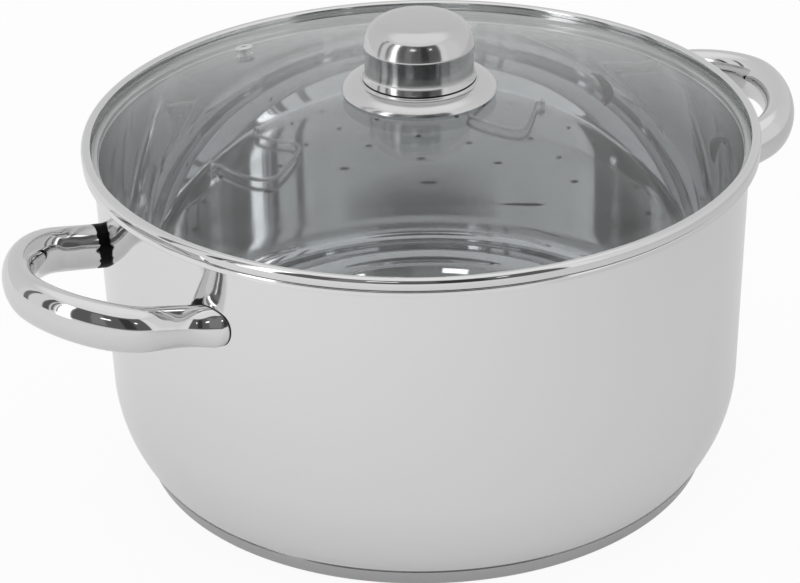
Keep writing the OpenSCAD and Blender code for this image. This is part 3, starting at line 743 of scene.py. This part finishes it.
# Brightness of the room by direction: it changes softly from the sides to the back and to
# the top. Each panel is then laid over it by a mask, the product of four soft steps: up and
# down again round the room, and up and down again in height
def makeStudio(studio):
    world = bpy.data.worlds.new("studio")
    bpy.context.scene.world = world
    world.use_nodes = True
    tree = world.node_tree
    tree.nodes.clear()
    way = addNode(tree, "ShaderNodeTexCoord").outputs["Generated"]
    facing = addNode(tree, "ShaderNodeMapping", {
        "Vector": way, "Rotation": (0, 0, -math.radians(studio["facing"]))})
    xyz = addNode(tree, "ShaderNodeSeparateXYZ", {0: facing.outputs[0]})
    bearing = addNode(tree, "ShaderNodeMath", {
        0: xyz.outputs["Y"], 1: xyz.outputs["X"]}, operation="ARCTAN2").outputs[0]
    height = addNode(tree, "ShaderNodeMath", {
        0: xyz.outputs["Z"]}, operation="ARCSINE").outputs[0]
    aside = addNode(tree, "ShaderNodeMath", {0: bearing}, operation="ABSOLUTE").outputs[0]
    start, end = np.radians(studio["sidesToBack"])
    level = addNode(tree, "ShaderNodeMapRange", {
        "Value": aside, "From Min": start, "From Max": end, "To Min": studio["sides"],
        "To Max": studio["back"]}, interpolation_type="SMOOTHSTEP").outputs[0]
    start, end = np.radians(studio["top"])
    top = addNode(tree, "ShaderNodeMapRange", {
        "Value": height, "From Min": start, "From Max": end}, interpolation_type="SMOOTHSTEP")
    level = addNode(tree, "ShaderNodeMix", {
        "Factor": top.outputs[0], 2: level, 3: studio["zenith"]}).outputs[0]
    for left, right, low, high, soft, strength in studio["panels"]:
        steps = [(bearing, left, 0, 1), (bearing, right, 1, 0),
                 (height, low, 0, 1), (height, high, 1, 0)]
        mask = None
        for angle, edge, before, after in steps:
            start, end = np.radians([edge - soft, edge + soft])
            step = addNode(tree, "ShaderNodeMapRange", {
                "Value": angle, "From Min": start, "From Max": end, "To Min": before,
                "To Max": after}, interpolation_type="SMOOTHSTEP").outputs[0]
            mask = step if mask is None else addNode(
                tree, "ShaderNodeMath", {0: mask, 1: step}, operation="MULTIPLY").outputs[0]
        level = addNode(tree, "ShaderNodeMix", {"Factor": mask, 2: level, 3: strength}).outputs[0]
    # to the eye, and through the glass, the room is plain white
    path = addNode(tree, "ShaderNodeLightPath")
    seen = addNode(tree, "ShaderNodeMath", {
        0: path.outputs["Is Camera Ray"], 1: path.outputs["Is Transmission Ray"]},
        operation="MAXIMUM").outputs[0]
    shown = addNode(tree, "ShaderNodeMix", {"Factor": seen, 2: level, 3: 1.0}).outputs[0]
    light = addNode(tree, "ShaderNodeBackground", {"Color": colour("#ffffff"), "Strength": shown})
    addNode(tree, "ShaderNodeOutputWorld", {"Surface": light.outputs[0]})


makeStudio(studio)


paper = {"colour": "#f4f4f4", "halfSize": 4.0,
         # share of plain white laid over the shade, to the eye and in mirror images
         "eye": 0.93, "mirror": 0.4,
         # brightness of that white in mirror images, between two places along X in metres
         "west": (-0.45, 1.14), "east": (0.5, 0.56)}


# Matt white paper. To the eye most of its shade is lifted to white, so that the pot's own
# shadow stays as a soft hint. In mirror images it is lifted less, and is brighter on the
# side of the large window than on the other
def makeFloor(paper):
    mesh = bpy.data.meshes.new("floor")
    half = paper["halfSize"]
    corners = [(-half, -half, 0), (half, -half, 0), (half, half, 0), (-half, half, 0)]
    mesh.from_pydata(corners, [], [(0, 1, 2, 3)])
    floor = bpy.data.objects.new("floor", mesh)
    bpy.context.scene.collection.objects.link(floor)
    material, tree, out = newMaterial("paper")
    matt = addNode(tree, "ShaderNodeBsdfDiffuse", {"Color": colour(paper["colour"])})
    path = addNode(tree, "ShaderNodeLightPath")
    place = addNode(tree, "ShaderNodeTexCoord").outputs["Object"]
    east = addNode(tree, "ShaderNodeSeparateXYZ", {0: place}).outputs["X"]
    side = addNode(tree, "ShaderNodeMapRange", {
        "Value": east, "From Min": paper["west"][0], "From Max": paper["east"][0],
        "To Min": paper["west"][1], "To Max": paper["east"][1]})
    level = addNode(tree, "ShaderNodeMix", {
        "Factor": path.outputs["Is Camera Ray"], 2: side.outputs[0], 3: 1.0})
    white = addNode(tree, "ShaderNodeEmission", {
        "Color": colour("#ffffff"), "Strength": level.outputs[0]})
    mirrored = addNode(tree, "ShaderNodeMath", {
        0: path.outputs["Is Glossy Ray"], 1: paper["mirror"]}, operation="MULTIPLY")
    lift = addNode(tree, "ShaderNodeMath", {
        0: path.outputs["Is Camera Ray"], 1: paper["eye"], 2: mirrored.outputs[0]},
        operation="MULTIPLY_ADD")
    both = addNode(tree, "ShaderNodeMixShader", {
        0: lift.outputs[0], 1: matt.outputs[0], 2: white.outputs[0]})
    tree.links.new(both.outputs[0], out.inputs["Surface"])
    mesh.materials.append(material)


makeFloor(paper)

# Angles in degrees and lengths in millimetres. aim is the place that the camera looks at,
# measured from the middle of the CAD box
view = {"azimuth": -31.997, "elevation": 27.961, "roll": -1.393, "distance": 1240.9,
        "lens": 114.148, "aim": (-9.78, 6.12, -31.5)}


# The camera's back points from the aim at azimuth and elevation, its right is level, and
# both right and up are then turned about back by the roll
def makeCamera(view):
    a, e, r = (math.radians(view[key]) for key in ("azimuth", "elevation", "roll"))
    back = np.array([math.sin(a) * math.cos(e), -math.cos(a) * math.cos(e), math.sin(e)])
    level = np.array([math.cos(a), math.sin(a), 0])
    rise = np.cross(back, level)
    right = level * math.cos(r) + rise * math.sin(r)
    up = rise * math.cos(r) - level * math.sin(r)
    middle = (np.array(cadBox[0]) + np.array(cadBox[1])) / 2
    place = middle + np.array(view["aim"]) * mm + back * view["distance"] * mm
    data = bpy.data.cameras.new("camera")
    data.lens = view["lens"]
    data.clip_end = 50  # metres
    camera = bpy.data.objects.new("camera", data)
    bpy.context.scene.collection.objects.link(camera)
    matrix = np.identity(4)
    matrix[:3, 0], matrix[:3, 1], matrix[:3, 2], matrix[:3, 3] = right, up, back, place
    camera.matrix_world = Matrix(matrix.tolist())
    bpy.context.scene.camera = camera


makeCamera(view)

scene = bpy.context.scene
scene.view_settings.view_transform = "Standard"
scene.cycles.max_bounces = 20
scene.cycles.glossy_bounces = 12
scene.cycles.transparent_max_bounces = 24
print("studio made")
